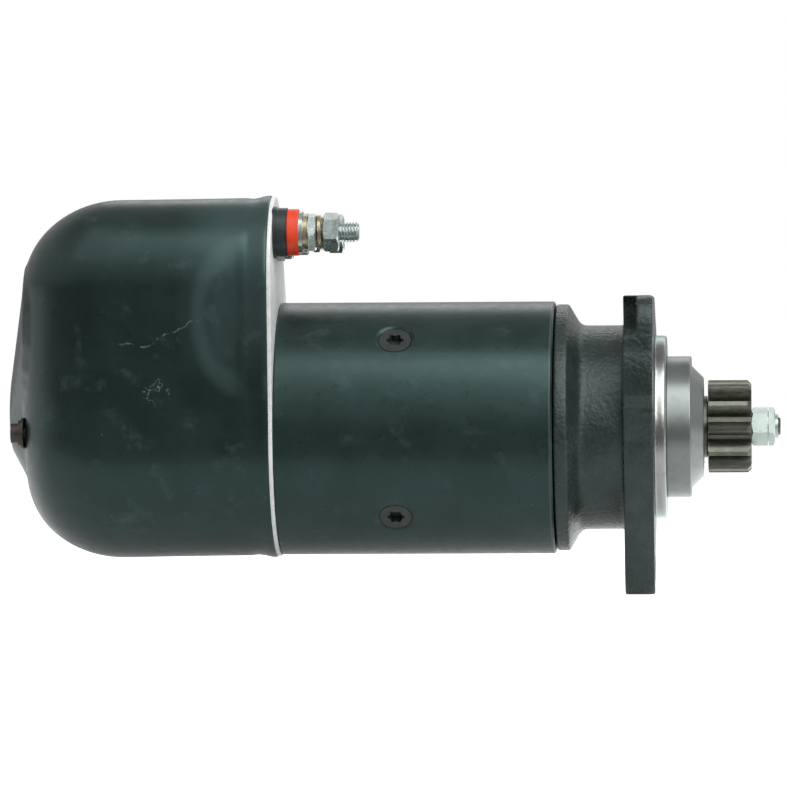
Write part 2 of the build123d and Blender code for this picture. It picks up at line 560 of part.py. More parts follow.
with BuildPart() as terminal_nuts:
    with Locations(*terminal_places()):
        add(lead_nut)
save(terminal_nuts, "terminal_nuts")

control_place = (CONTROL_Y, CONTROL_Z)
with BuildPart() as control_terminal_stud:
    bar(SHIELD_REGISTER_X, -173, 2.5, control_place)
    bar(SHIELD_REGISTER_X - 2, SHIELD_REGISTER_X, 5.5, control_place)
save(control_terminal_stud, "control_terminal_stud")

with BuildPart() as control_terminal_bush:
    ring(SHIELD_REGISTER_X + 0.02, YOKE_REAR_X, 4, 2.5 + FIT_GAP, control_place)
    ring(YOKE_REAR_X, YOKE_REAR_X + 4, 5.5, 2.5 + FIT_GAP, control_place)
save(control_terminal_bush, "control_terminal_bush")

small_nut = chamfered_nut(YOKE_REAR_X + 4, YOKE_REAR_X + 8, 8, 2.5 + FIT_GAP, turn=15)
with BuildPart() as control_terminal_nut:
    with Locations((0, CONTROL_Y, CONTROL_Z)):
        add(small_nut)
save(control_terminal_nut, "control_terminal_nut")

# ---- Solenoid -----------------------------------------------------------------------------
with BuildPart() as solenoid_can:
    ring(SOLENOID_REAR_X, SOLENOID_FRONT_X - 4, SOLENOID_R, SOLENOID_R - 3)
save(solenoid_can, "solenoid_can")

with BuildPart() as solenoid_coil:
    ring(SOLENOID_REAR_X + 2, CORE_REAR_X - 1, SOLENOID_R - 3.5, PLUNGER_R + 1.5)
save(solenoid_coil, "solenoid_coil")

with BuildPart() as solenoid_core:
    turned((CORE_REAR_X, SHAFT_BORE_R), (CORE_REAR_X, SOLENOID_R - 3 - FIT_GAP),
           (SOLENOID_FRONT_X - 4, SOLENOID_R - 3 - FIT_GAP), (SOLENOID_FRONT_X - 4, SOLENOID_R),
           (SOLENOID_FRONT_X, SOLENOID_R), (SOLENOID_FRONT_X, SHAFT_BORE_R))
save(solenoid_core, "solenoid_core")

with BuildPart() as solenoid_end_plate:
    bar(SOLENOID_REAR_X - 5, SOLENOID_REAR_X, SOLENOID_R)
    bar(COVER_REAR_X + COVER_WALL + 1.7, SOLENOID_REAR_X - 5, 6, screw_place)
    bar(-306.5, SOLENOID_REAR_X, 3, screw_place, mode=Mode.SUBTRACT)
    bar(COVER_REAR_X, -306, 2.9 + FIT_GAP, screw_place, mode=Mode.SUBTRACT)
save(solenoid_end_plate, "solenoid_end_plate")

with BuildPart() as solenoid_plunger:
    bar(PLUNGER_REAR_X, PLUNGER_FRONT_X, PLUNGER_R)
save(solenoid_plunger, "solenoid_plunger")

with BuildPart() as plunger_return_spring:
    add(coil_spring((PLUNGER_FRONT_X + 1.2, 0, 0), (1, 0, 0), 19.8, 8, 1, 5))
save(plunger_return_spring, "plunger_return_spring")

# ---- Control relay ------------------------------------------------------------------------
relay_place = (LOBE_Y, LOBE_Z)
with BuildPart() as relay_can:
    bar(RELAY_REAR_X, RELAY_FRONT_X, RELAY_R, relay_place)
    bar(RELAY_REAR_X + 2, RELAY_FRONT_X - 2, RELAY_R - 1.5, relay_place, Mode.SUBTRACT)
    bar(RELAY_FRONT_X - 2, RELAY_FRONT_X, 5.5, relay_place, Mode.SUBTRACT)
save(relay_can, "relay_can")

with BuildPart() as relay_coil:
    ring(RELAY_REAR_X + 4, RELAY_FRONT_X - 4, RELAY_R - 2, 7, relay_place)
save(relay_coil, "relay_coil")

with BuildPart() as relay_plunger:
    bar(RELAY_REAR_X + 6, RELAY_FRONT_X + 2, 5, relay_place)
    bar(RELAY_FRONT_X + 2, BRIDGE_FRONT_X - 3, 2.5, relay_place)
save(relay_plunger, "relay_plunger")

with BuildPart() as relay_contact_bridge:
    block(BRIDGE_FRONT_X - 3, BRIDGE_FRONT_X, 42, 10, relay_place)
save(relay_contact_bridge, "relay_contact_bridge")

with BuildPart() as relay_fixed_contacts:
    block(FIXED_CONTACT_X, STUD_REAR_X - 3, 11, 38, (-45.5, 86))
    block(FIXED_CONTACT_X, STUD_REAR_X - 3, 11, 33, (-12.5, 62.5))
    block(PLATE_FRONT_X, STUD_REAR_X - 3, 11, 2, (-12.5, 47))
save(relay_fixed_contacts, "relay_fixed_contacts")

with BuildPart() as relay_spring:
    add(coil_spring((BRIDGE_FRONT_X + 0.8, LOBE_Y, LOBE_Z), (1, 0, 0), 16.2, 3.6, 0.6, 4))
save(relay_spring, "relay_spring")

# ---- Plate clutch -------------------------------------------------------------------------
with BuildPart() as clutch_drum:
    turned((-74, SHAFT_R + FIT_GAP), (-74, DRUM_R), (DRUM_FRONT_X, DRUM_R),
           (DRUM_FRONT_X, DRUM_BORE_R), (SHAFT_FRONT_X, DRUM_BORE_R), (SHAFT_FRONT_X, SHAFT_R + FIT_GAP))
save(clutch_drum, "clutch_drum")

with BuildPart() as clutch_outer_plates:
    for index in range(PLATE_COUNT):
        x_from = FIRST_PLATE_X + PLATE_PITCH * index
        ring(x_from, x_from + 2, DRUM_BORE_R - FIT_GAP, 24)
save(clutch_outer_plates, "clutch_outer_plates")

with BuildPart() as clutch_inner_plates:
    for index in range(PLATE_COUNT):
        x_from = FIRST_PLATE_X + 2.1 + PLATE_PITCH * index
        ring(x_from, x_from + 2, 34, SPINDLE_HUB_R + FIT_GAP)
save(clutch_inner_plates, "clutch_inner_plates")

with BuildPart() as clutch_spring:
    turned((-48.8, 26), (-46.3, DRUM_BORE_R - FIT_GAP), (-44.8, DRUM_BORE_R - FIT_GAP), (-47.3, 26))
save(clutch_spring, "clutch_spring")

# ---- Drive spindle, pinion and rod --------------------------------------------------------
with BuildPart() as drive_spindle:
    turned((SPINDLE_REAR_X, ROD_R + 1.5), (SPINDLE_REAR_X, SPINDLE_HUB_R), (-40, SPINDLE_HUB_R),
           (-40, 17), (-10, 17), (-10, SPINDLE_R), (SPINDLE_FRONT_X, SPINDLE_R),
           (SPINDLE_FRONT_X, SPLINE_R + RUNNING_GAP), (-24, SPLINE_R + RUNNING_GAP), (-24, ROD_R + 1.5),
           radii=[0, 0.5, 0.5, 0, 0.5, 0.5, 0.5, 0, 0, 0])
    for index in range(SPLINE_COUNT):
        turn = 360 / SPLINE_COUNT * index
        depth = SPLINE_TIP_R + RUNNING_GAP
        block(-24, SPINDLE_FRONT_X, depth, SPLINE_WIDTH + 2 * RUNNING_GAP,
              (depth / 2 * cos(radians(turn)), depth / 2 * sin(radians(turn))), turn, Mode.SUBTRACT)
save(drive_spindle, "drive_spindle")

pitch_r = PINION_MODULE * PINION_TEETH / 2
base_r = pitch_r * cos(radians(20))
root_r = PINION_R - 2.2 * PINION_MODULE
SHIFT = 0.4                 # profile shift of the pinion, in modules


def flank_angle(radius):
    """Half the angle, in degrees, that a tooth spans at a radius outside the base circle."""
    pressure = acos(base_r / radius)
    thickness = (pi / 2 + 2 * SHIFT * tan(radians(20))) / PINION_TEETH
    involute = tan(pressure) - pressure
    reference = tan(radians(20)) - radians(20)
    return degrees(thickness + reference - involute)


def tooth_point(radius, offset, centre_angle):
    """The (y, z) point on a tooth's flank, offset in degrees from the tooth's centre line."""
    turn = radians(centre_angle + offset)
    return radius * cos(turn), radius * sin(turn)


with BuildPart() as pinion:
    with BuildSketch(Plane.YZ.offset(PINION_REAR_X)) as gear:
        Circle(root_r)
        flank_radii = [base_r + 0.1, (base_r + PINION_R) / 2, PINION_R]
        for index in range(PINION_TEETH):
            centre_angle = 180 + PINION_TURN * -1 + 360 / PINION_TEETH * index
            spans = [flank_angle(radius) for radius in flank_radii]
            with BuildLine():
                root_high = tooth_point(root_r - 1, spans[0] + 1.5, centre_angle)
                root_low = tooth_point(root_r - 1, -spans[0] - 1.5, centre_angle)
                high = [tooth_point(r, s, centre_angle) for r, s in zip(flank_radii, spans)]
                low = [tooth_point(r, -s, centre_angle) for r, s in zip(flank_radii, spans)]
                Line(root_high, high[0])
                ThreePointArc(*high)
                ThreePointArc(high[2], tooth_point(PINION_R, 0, centre_angle), low[2])
                ThreePointArc(*reversed(low))
                Line(low[0], root_low)
                Line(root_low, root_high)
            make_face()
    extrude(gear.sketch, amount=PINION_FRONT_X - PINION_REAR_X)
    turned((PINION_REAR_X, 0), (PINION_REAR_X, PINION_R - 0.4), (PINION_REAR_X + 0.4, PINION_R),
           (PINION_FRONT_X - PINION_CHAMFER, PINION_R), (PINION_FRONT_X, PINION_R - PINION_CHAMFER),
           (PINION_FRONT_X, 0), mode=Mode.INTERSECT)
    bar(-16, PINION_REAR_X, SPLINE_R)
    for index in range(SPLINE_COUNT):
        turn = 360 / SPLINE_COUNT * index
        block(-16, SPINDLE_FRONT_X - 2, SPLINE_TIP_R, SPLINE_WIDTH,
              (SPLINE_TIP_R / 2 * cos(radians(turn)), SPLINE_TIP_R / 2 * sin(radians(turn))), turn)
    bar(-16, PINION_FRONT_X, THREAD_R + FIT_GAP, mode=Mode.SUBTRACT)
save(pinion, "pinion")

with BuildPart() as engagement_rod:
    turned((PLUNGER_FRONT_X + 0.1, 0), (PLUNGER_FRONT_X + 0.1, ROD_R), (-20, ROD_R), (-20, 6),
           (-16, 6), (-16, ROD_R), (44, ROD_R), (44, THREAD_R), (ROD_FRONT_X - 0.8, THREAD_R),
           (ROD_FRONT_X, THREAD_R - 0.8), (ROD_FRONT_X, 0))
save(engagement_rod, "engagement_rod")

with BuildPart() as pinion_nut:
    add(chamfered_nut(PINION_FRONT_X, NUT_FRONT_X, NUT_FLATS, THREAD_R + FIT_GAP, turn=18))
    ring(NUT_FRONT_X, NUT_COLLAR_X, NUT_COLLAR_R, THREAD_R + FIT_GAP)
    turned((NUT_GROOVE_X, NUT_GROOVE_R), (NUT_GROOVE_X, NUT_FLATS), (NUT_GROOVE_X + NUT_GROOVE, NUT_FLATS),
           (NUT_GROOVE_X + NUT_GROOVE, NUT_GROOVE_R), mode=Mode.SUBTRACT)
save(pinion_nut, "pinion_nut")
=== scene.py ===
import json
import math

import bmesh
import bpy
from mathutils import Matrix, Vector, noise


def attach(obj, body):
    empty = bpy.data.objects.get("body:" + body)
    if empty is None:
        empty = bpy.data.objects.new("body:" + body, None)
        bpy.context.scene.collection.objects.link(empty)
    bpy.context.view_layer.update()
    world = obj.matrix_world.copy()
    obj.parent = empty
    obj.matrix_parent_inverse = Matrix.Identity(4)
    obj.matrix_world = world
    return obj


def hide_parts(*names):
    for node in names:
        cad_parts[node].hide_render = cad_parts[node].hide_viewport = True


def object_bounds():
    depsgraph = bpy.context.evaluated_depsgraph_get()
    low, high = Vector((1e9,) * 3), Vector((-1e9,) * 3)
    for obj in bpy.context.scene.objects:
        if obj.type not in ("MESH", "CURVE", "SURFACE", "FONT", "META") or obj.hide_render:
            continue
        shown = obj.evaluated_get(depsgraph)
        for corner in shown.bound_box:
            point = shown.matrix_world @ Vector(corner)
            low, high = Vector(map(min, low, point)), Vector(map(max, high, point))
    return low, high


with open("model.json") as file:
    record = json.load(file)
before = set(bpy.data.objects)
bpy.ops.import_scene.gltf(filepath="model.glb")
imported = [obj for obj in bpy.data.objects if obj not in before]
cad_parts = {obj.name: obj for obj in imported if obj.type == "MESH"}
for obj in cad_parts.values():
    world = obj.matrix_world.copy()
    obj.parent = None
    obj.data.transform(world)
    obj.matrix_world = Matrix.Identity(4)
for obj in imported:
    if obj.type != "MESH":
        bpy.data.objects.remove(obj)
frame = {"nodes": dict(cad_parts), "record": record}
cad_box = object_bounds()
MM = 0.001

# ---- Camera and stage ---------------------------------------------------------------------
# A long lens level with the motor, a little ahead of its middle and turned back to face it.
CAMERA_PLACE = Vector((0.067, -3.29, 0.0175))
CAMERA_TARGET = Vector((-0.132, 0.0, 0.0175))
CAMERA_ROLL = math.radians(0.29)
LENS_MM, SENSOR_MM = 298.8, 36.0
CLIP_NEAR, CLIP_FAR = 0.1, 50.0
FLOOR_HALF, FLOOR_DROP = 6.0, 0.0005
# Floor, millimetres: it darkens towards the camera, and glows from the first y and x to the second.
DARK_FLOOR_Y, GLOW_Y, GLOW_X, GLOW = (-230, -140), (-40, 90), (-220, 30), (0.5, 1.1)
# Room brightness: share of the direction's axis from, to; strength from, to.
ROOM_BY_DEPTH = (-0.95, -0.1, 0.05, 0.3)
ROOM_BY_HEIGHT = ((0.03, 0.16, 0.0, 0.28), (0.55, 0.75, 0.0, -0.28))
# Name, place, target, size, watts, colour.
LIGHTS = (
    ("key", (0.60, -1.06, 1.06), (0.0, 0.0, 0.0), (1.5, 1.87), 30, (0.95, 1.0, 1.0)),
    ("fill", (-0.8, -0.9, 1.5), (-0.1, 0.0, 0.02), (1.4, 1.4), 5, (1.0, 1.0, 1.0)),
    ("rim", (0.1, 1.4, 1.1), (-0.1, 0.0, 0.0), (1.4, 0.6), 3, (1.0, 1.0, 1.0)),
)


def make_camera():
    data = bpy.data.cameras.new("camera")
    data.lens, data.sensor_width = LENS_MM, SENSOR_MM
    data.clip_start, data.clip_end = CLIP_NEAR, CLIP_FAR
    camera = bpy.data.objects.new("camera", data)
    bpy.context.scene.collection.objects.link(camera)
    turn = (CAMERA_TARGET - CAMERA_PLACE).to_track_quat("-Z", "Y").to_matrix().to_4x4()
    camera.matrix_world = Matrix.Translation(CAMERA_PLACE) @ turn @ Matrix.Rotation(-CAMERA_ROLL, 4, "Z")
    bpy.context.scene.camera = camera


def area_light(name, place, target, size, power, colour):
    data = bpy.data.lights.new(name, "AREA")
    data.shape, data.size, data.size_y = "RECTANGLE", size[0], size[1]
    data.energy, data.color = power, colour
    light = bpy.data.objects.new(name, data)
    bpy.context.scene.collection.objects.link(light)
    turn = (Vector(target) - Vector(place)).to_track_quat("-Z", "Y").to_matrix().to_4x4()
    light.matrix_world = Matrix.Translation(place) @ turn


def make_stage():
    """A pale floor under the lowest lug, and the room round it."""
    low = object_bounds()[0]
    mesh = bpy.data.meshes.new("floor")
    signs = ((-1, -1), (1, -1), (1, 1), (-1, 1))
    corners = [(x * FLOOR_HALF, y * FLOOR_HALF, low[2] - FLOOR_DROP) for x, y in signs]
    mesh.from_pydata(corners, [], [(0, 1, 2, 3)])
    floor = bpy.data.objects.new("floor", mesh)
    bpy.context.scene.collection.objects.link(floor)
    floor.data.materials.append(floor_material())
    bpy.context.scene.world = studio_world()
    bpy.context.scene.view_settings.view_transform = "Standard"


def floor_material():
    """Matt pale floor: white where it is seen directly, glowing softly behind the motor."""
    paint = Paint("floor_paint")
    front = paint.ramp(paint.y, *DARK_FLOOR_Y)
    paint.set(Base_Color=paint.blend(front, (0.1, 0.1, 0.1), (0.9, 0.9, 0.9)), Roughness=1.0,
              Specular_IOR_Level=0.0, Emission_Color=(1.0, 1.0, 1.0))
    path = paint.node("ShaderNodeLightPath")
    behind = paint.product(paint.ramp(paint.y, *GLOW_Y), paint.ramp(paint.x, *GLOW_X, *GLOW))
    paint.set(Emission_Strength=paint.math("MAXIMUM", path.outputs["Is Camera Ray"], behind))
    return paint.material


def studio_world():
    """A white backdrop in a dim studio: dark by the camera, paler far behind and at wall height."""
    world = bpy.data.worlds.new("studio")
    world.use_nodes = True
    tree = world.node_tree
    output, room = tree.nodes["World Output"], tree.nodes["Background"]
    place = tree.nodes.new("ShaderNodeTexCoord")
    parts = tree.nodes.new("ShaderNodeSeparateXYZ")
    tree.links.new(place.outputs["Generated"], parts.inputs[0])

    def fade(axis, limits):
        made = tree.nodes.new("ShaderNodeMapRange")
        tree.links.new(parts.outputs[axis], made.inputs["Value"])
        for name, value in zip(("From Min", "From Max", "To Min", "To Max"), limits):
            made.inputs[name].default_value = value
        return made.outputs[0]

    strength = fade("Y", ROOM_BY_DEPTH)
    for limits in ROOM_BY_HEIGHT:
        total = tree.nodes.new("ShaderNodeMath")
        tree.links.new(strength, total.inputs[0])
        tree.links.new(fade("Z", limits), total.inputs[1])
        strength = total.outputs[0]
    tree.links.new(strength, room.inputs["Strength"])
    room.inputs["Color"].default_value = (1, 1, 1, 1)
    backdrop = tree.nodes.new("ShaderNodeBackground")
    backdrop.inputs["Color"].default_value = (1, 1, 1, 1)
    seen, path = tree.nodes.new("ShaderNodeMixShader"), tree.nodes.new("ShaderNodeLightPath")
    tree.links.new(path.outputs["Is Camera Ray"], seen.inputs[0])
    tree.links.new(room.outputs[0], seen.inputs[1])
    tree.links.new(backdrop.outputs[0], seen.inputs[2])
    tree.links.new(seen.outputs[0], output.inputs["Surface"])
    return world


# ---- Shader helpers -----------------------------------------------------------------------
class Paint:
    """A material under construction: a Principled shader fed by object coordinates in millimetres."""

    def __init__(self, name):
        self.material = bpy.data.materials.new(name)
        self.material.use_nodes = True
        self.tree = self.material.node_tree
        self.shader = self.tree.nodes["Principled BSDF"]
        place = self.node("ShaderNodeTexCoord")
        scale = self.node("ShaderNodeVectorMath", operation="SCALE")
        self.tree.links.new(place.outputs["Object"], scale.inputs[0])
        scale.inputs["Scale"].default_value = 1 / MM
        self.place = scale.outputs[0]
        parts = self.node("ShaderNodeSeparateXYZ")
        self.link(self.place, parts.inputs[0])
        self.x, self.y, self.z = parts.outputs

    def node(self, kind, **settings):
        made = self.tree.nodes.new(kind)
        for name, value in settings.items():
            setattr(made, name, value)
        return made

    def link(self, source, target):
        self.tree.links.new(source, target)

    def math(self, operation, first, second=0.0):
        made = self.node("ShaderNodeMath", operation=operation)
        for socket, value in zip(made.inputs, (first, second)):
            if isinstance(value, (int, float)):
                socket.default_value = value
            else:
                self.link(value, socket)
        return made.outputs[0]

    def product(self, *factors):
        total = factors[0]
        for factor in factors[1:]:
            total = self.math("MULTIPLY", total, factor)
        return total

    def away(self, value, middle):
        """How far a value is from a middle one, on either side."""
        return self.math("ABSOLUTE", self.math("SUBTRACT", value, middle))

    def drawn_out(self, stretch):
        """The place, with the x direction drawn out for marks that run along the motor."""
        made = self.node("ShaderNodeVectorMath", operation="MULTIPLY")
        self.link(self.place, made.inputs[0])
        made.inputs[1].default_value = (stretch, 1, 1)
        return made.outputs[0]

    def colour(self):
        """The socket that feeds the base colour so far."""
        return self.shader.inputs["Base Color"].links[0].from_socket

    def noise(self, size, detail=4.0, rough=0.55, vector=None):
        """Noise of about that grain size in millimetres, from 0 to 1."""
        made = self.node("ShaderNodeTexNoise")
        self.link(vector or self.place, made.inputs["Vector"])
        made.inputs["Scale"].default_value = 1 / size
        made.inputs["Detail"].default_value = detail
        made.inputs["Roughness"].default_value = rough
        return made.outputs[0]

    def cells(self, size):
        """Distance from scattered points of about that spacing in millimetres."""
        made = self.node("ShaderNodeTexVoronoi")
        self.link(self.place, made.inputs["Vector"])
        made.inputs["Scale"].default_value = 1 / size
        return made.outputs["Distance"]

    def ramp(self, value, low, high, start=0.0, end=1.0):
        """Map a value from the range low..high to start..end, clamped."""
        made = self.node("ShaderNodeMapRange")
        self.link(value, made.inputs["Value"])
        for name, number in (("From Min", low), ("From Max", high), ("To Min", start), ("To Max", end)):
            made.inputs[name].default_value = number
        return made.outputs[0]

    def blend(self, factor, first, second):
        """Mix two colours, each a socket or an (r, g, b)."""
        made = self.node("ShaderNodeMix", data_type="RGBA")
        if isinstance(factor, (int, float)):
            made.inputs["Factor"].default_value = factor
        else:
            self.link(factor, made.inputs["Factor"])
        for socket, value in ((made.inputs[6], first), (made.inputs[7], second)):
            if isinstance(value, tuple):
                socket.default_value = (*value, 1)
            else:
                self.link(value, socket)
        return made.outputs[2]

    def radius(self):
        """Distance from the motor's axis, in millimetres."""
        squares = self.math("ADD", self.product(self.y, self.y), self.product(self.z, self.z))
        return self.math("SQRT", squares)

    def turning_marks(self, pitch=0.25):
        """Noise drawn out round the motor's axis, as a lathe tool leaves."""
        joined = self.node("ShaderNodeCombineXYZ")
        self.link(self.x, joined.inputs[0])
        self.link(self.radius(), joined.inputs[1])
        return self.noise(pitch, detail=3, vector=joined.outputs[0])

    def bump(self, height, strength, distance):
        """Add relief, distance in millimetres, on top of any relief already there."""
        made = self.node("ShaderNodeBump")
        made.inputs["Strength"].default_value = strength
        made.inputs["Distance"].default_value = distance * MM
        self.link(height, made.inputs["Height"])
        if self.shader.inputs["Normal"].links:
            self.link(self.shader.inputs["Normal"].links[0].from_socket, made.inputs["Normal"])
        self.link(made.outputs[0], self.shader.inputs["Normal"])

    def set(self, **values):
        for name, value in values.items():
            socket = self.shader.inputs[name.replace("_", " ")]
            if hasattr(value, "is_linked"):
                self.link(value, socket)
            elif isinstance(value, tuple):
                socket.default_value = (*value, 1)
            else:
                socket.default_value = value


PAINT_DARK, PAINT_LIGHT = (0.0095, 0.0175, 0.0145), (0.015, 0.026, 0.0235)
CAST_DARK, CAST_LIGHT = (0.016, 0.025, 0.022), (0.03, 0.042, 0.039)
DUST, SMUDGE = (0.16, 0.18, 0.17), (0.055, 0.083, 0.086)
# The first colour on the next line is a painted highlight for the cover by the lip; the second is
# scratched paint.
PAINTED_HIGHLIGHT, SCRATCHED = (0.07, 0.11, 0.11), (0.15, 0.19, 0.18)
SCRIBED, GOUGED = (0.09, 0.11, 0.105), (0.002, 0.003, 0.003)
COAT, COAT_ROUGH, PAINT_TINT, CAST_TINT = 0.08, 0.22, (0.62, 1.0, 0.97), (0.86, 1.0, 0.98)

# Marks on the cover and the yoke, and where the painted highlight and painted sheen go by the cover's lip,
# millimetres.
NEAR_SIDE_Y = (-30, -31)
SCRATCH_X, SCRATCH_Z, SCRATCH_WAVER, SCRATCH_EDGE = (-249, -229), (42.0, 53.0), 7.0, (0.42, 0.12)
SCRATCH_REAR_X, SCRATCH_FRONT_X = (-268, -262), (-223, -227)
NICKS_PLACE, NICKS_R = (-246, -67, 18.7), (7.5, 5.5)
CRESCENT_X, CRESCENT_Z, CRESCENT_LONG, CRESCENT_TALL = 206.0, 56.0, 21.0, 36.0
# Where the painted sheen goes above the dent, and how bright it is.
SHEEN_X, SHEEN_Z, SHEEN = (-236, -214), (25, 60), (0.0, 0.34)
SCRIBED_X, GOUGES_X, GOUGES_Z = 51.3, (-104, -96), (58.0, 60.0)
PILOT_START_X, PILOT_EDGE_R = (0.05, 0.12), (46.6, 46.3)


def enamel(name, gloss, grain, smudges):
    """Green-black enamel with cloudy colour, fine orange peel, dust specks and hand smudges."""
    paint = Paint(name)
    cloud = paint.noise(24, detail=5)
    tone = paint.blend(paint.ramp(cloud, 0.35, 0.65), PAINT_DARK, PAINT_LIGHT)
    speck = paint.ramp(paint.cells(7.5), 0.045, 0.03)
    chosen = paint.ramp(paint.noise(9), 0.56, 0.6)
    tone = paint.blend(paint.product(speck, chosen), tone, DUST)
    rough = paint.ramp(paint.noise(5, detail=6), 0.3, 0.7, gloss - 0.04, gloss + 0.06)
    patch = paint.ramp(paint.noise(17, detail=7, rough=0.7), 0.56, 0.72)
    wipe = paint.product(patch, smudges)
    tone = paint.blend(wipe, tone, SMUDGE)
    rough = paint.math("ADD", rough, paint.product(wipe, 0.25))
    paint.set(Base_Color=tone, Roughness=rough, Coat_Weight=COAT, Coat_Roughness=COAT_ROUGH,
              Specular_Tint=PAINT_TINT)
    paint.bump(paint.noise(grain, detail=3), 0.10, 0.06)
    return paint


def scratch_and_nicks(paint):
    """1 along one wandering scratch, and on a few short nicks below it."""
    waver = paint.product(paint.math("SUBTRACT", paint.noise(7, detail=5), 0.5), SCRATCH_WAVER)
    line = paint.math("ADD", paint.ramp(paint.x, *SCRATCH_X, *SCRATCH_Z), waver)
    broken = paint.ramp(paint.noise(3, detail=4), 0.44, 0.56)
    scratch = paint.product(paint.ramp(paint.away(paint.z, line), *SCRATCH_EDGE),
                            paint.ramp(paint.y, *NEAR_SIDE_Y), broken,
                            paint.ramp(paint.x, *SCRATCH_REAR_X), paint.ramp(paint.x, *SCRATCH_FRONT_X))
    nick_line = paint.away(paint.noise(4.5, detail=1), 0.5)
    patch = paint.node("ShaderNodeVectorMath", operation="DISTANCE")
    paint.link(paint.place, patch.inputs[0])
    patch.inputs[1].default_value = NICKS_PLACE
    nicks = paint.product(paint.ramp(nick_line, 0.02, 0.008), paint.ramp(patch.outputs["Value"], *NICKS_R))
    return paint.product(paint.math("MAXIMUM", scratch, nicks), 0.8)


def crescent_and_sheen(paint):
    """Painted highlight round the dent by the lip, and a painted sheen above it, where the light would
    catch the panel.
    """
    across = paint.product(paint.math("ADD", paint.x, CRESCENT_X), 1 / CRESCENT_LONG)
    upward = paint.product(paint.math("SUBTRACT", paint.z, CRESCENT_Z), 1 / CRESCENT_TALL)
    squares = paint.math("ADD", paint.product(across, across), paint.product(upward, upward))
    rim = paint.ramp(paint.away(paint.math("SQRT", squares), 0.9), 0.24, 0.06, 0.0, 0.3)
    crescent = paint.product(rim, paint.ramp(across, 0.3, -0.2))
    sheen = paint.product(paint.ramp(paint.x, *SHEEN_X), paint.ramp(paint.z, *SHEEN_Z, *SHEEN))
    return paint.product(paint.math("ADD", crescent, sheen), paint.ramp(paint.y, *NEAR_SIDE_Y))


def cover_paint():
    """The cover's enamel, scratched and nicked on the near side, with a painted highlight and painted
    sheen by the lip.
    """
    paint = enamel("cover_paint", gloss=0.31, grain=1.6, smudges=0.5)
    # Painted highlight round the dent and painted sheen above it, blended into the enamel's colour.
    highlighted = paint.blend(crescent_and_sheen(paint), paint.colour(), PAINTED_HIGHLIGHT)
    paint.set(Base_Color=paint.blend(scratch_and_nicks(paint), highlighted, SCRATCHED))
    return paint.material


def yoke_paint():
    """Thinner paint over rolled tube: faint lengthways marks, a scribed line and a few gouges."""
    paint = enamel("yoke_paint", gloss=0.30, grain=1.2, smudges=0.4)
    paint.bump(paint.noise(0.9, detail=3, vector=paint.drawn_out(0.03)), 0.18, 0.05)
    line = paint.ramp(paint.math("ABSOLUTE", paint.math("ADD", paint.x, SCRIBED_X)), 0.45, 0.15, 0, 0.6)
    gouges = paint.product(paint.ramp(paint.noise(2.6, detail=4, rough=0.7), 0.6, 0.64),
                           paint.ramp(paint.z, *GOUGES_Z), paint.ramp(paint.x, *GOUGES_X))
    paint.set(Base_Color=paint.blend(gouges, paint.blend(line, paint.colour(), SCRIBED), GOUGED))
    return paint.material


def bare_steel_into(paint, factor, tone, rough):
    """Show turned bare steel where the factor is 1."""
    marks = paint.turning_marks(0.3)
    stain = paint.noise(12, detail=6)
    steel = paint.blend(paint.ramp(marks, 0.3, 0.7), (0.36, 0.365, 0.35), (0.5, 0.505, 0.49))
    steel = paint.blend(paint.ramp(stain, 0.5, 0.75, 0, 0.6), steel, (0.24, 0.22, 0.2))
    paint.set(Base_Color=paint.blend(factor, tone, steel), Metallic=factor,
              Roughness=paint.blend(factor, rough, paint.ramp(marks, 0.3, 0.7, 0.24, 0.34)))


def bracket_paint():
    """Cast iron under paint, with the pilot left bare and turned."""
    paint = Paint("bracket_paint")
    tone = paint.blend(paint.ramp(paint.noise(14, detail=6), 0.35, 0.65), CAST_DARK, CAST_LIGHT)
    pits = paint.ramp(paint.noise(1.4, detail=5, rough=0.7), 0.62, 0.75)
    tone = paint.blend(paint.product(pits, 0.5), tone, (0.07, 0.08, 0.075))
    rough = paint.ramp(paint.noise(2.5, detail=5), 0.3, 0.7, 0.2, 0.34)
    pilot = paint.product(paint.ramp(paint.x, *PILOT_START_X), paint.ramp(paint.radius(), *PILOT_EDGE_R))
    bare_steel_into(paint, pilot, tone, rough)
    coarse, fine = paint.noise(2.6, detail=6, rough=0.6), paint.noise(0.8, detail=4)
    paint.bump(paint.product(paint.math("SUBTRACT", 1.0, pilot), coarse), 1.0, 0.6)
    paint.bump(fine, 0.2, 0.06)
    paint.set(Specular_Tint=CAST_TINT)
    return paint.material


def turned_steel(name, dark, light, rough=(0.26, 0.4), stain=(0.25, 0.24, 0.22), metal=1.0, pitch=0.3):
    """Bare steel with turning marks, darker stains and a little bloom."""
    paint = Paint(name)
    marks = paint.turning_marks(pitch)
    tone = paint.blend(paint.ramp(marks, 0.3, 0.7), dark, light)
    blot = paint.ramp(paint.noise(7, detail=7, rough=0.65), 0.5, 0.72, 0, 0.7)
    tone = paint.blend(blot, tone, stain)
    paint.set(Base_Color=tone, Metallic=metal, Roughness=paint.ramp(marks, 0.3, 0.7, *rough))
    paint.bump(marks, 0.25, 0.02)
    return paint.material


def plated(name, dark, light, tint=None, rough=(0.16, 0.32), metal=1.0):
    """Plated or plain bright metal: slightly cloudy, with a passivation tint where one is given."""
    paint = Paint(name)
    tone = paint.blend(paint.ramp(paint.noise(6, detail=2), 0.3, 0.7), dark, light)
    if tint:
        tone = paint.blend(paint.ramp(paint.noise(3.5, detail=2), 0.45, 0.65, 0, 0.5), tone, tint)
    cloudy = paint.ramp(paint.noise(3, detail=2), 0.3, 0.7, *rough)
    paint.set(Base_Color=tone, Metallic=metal, Roughness=cloudy)
    return paint.material


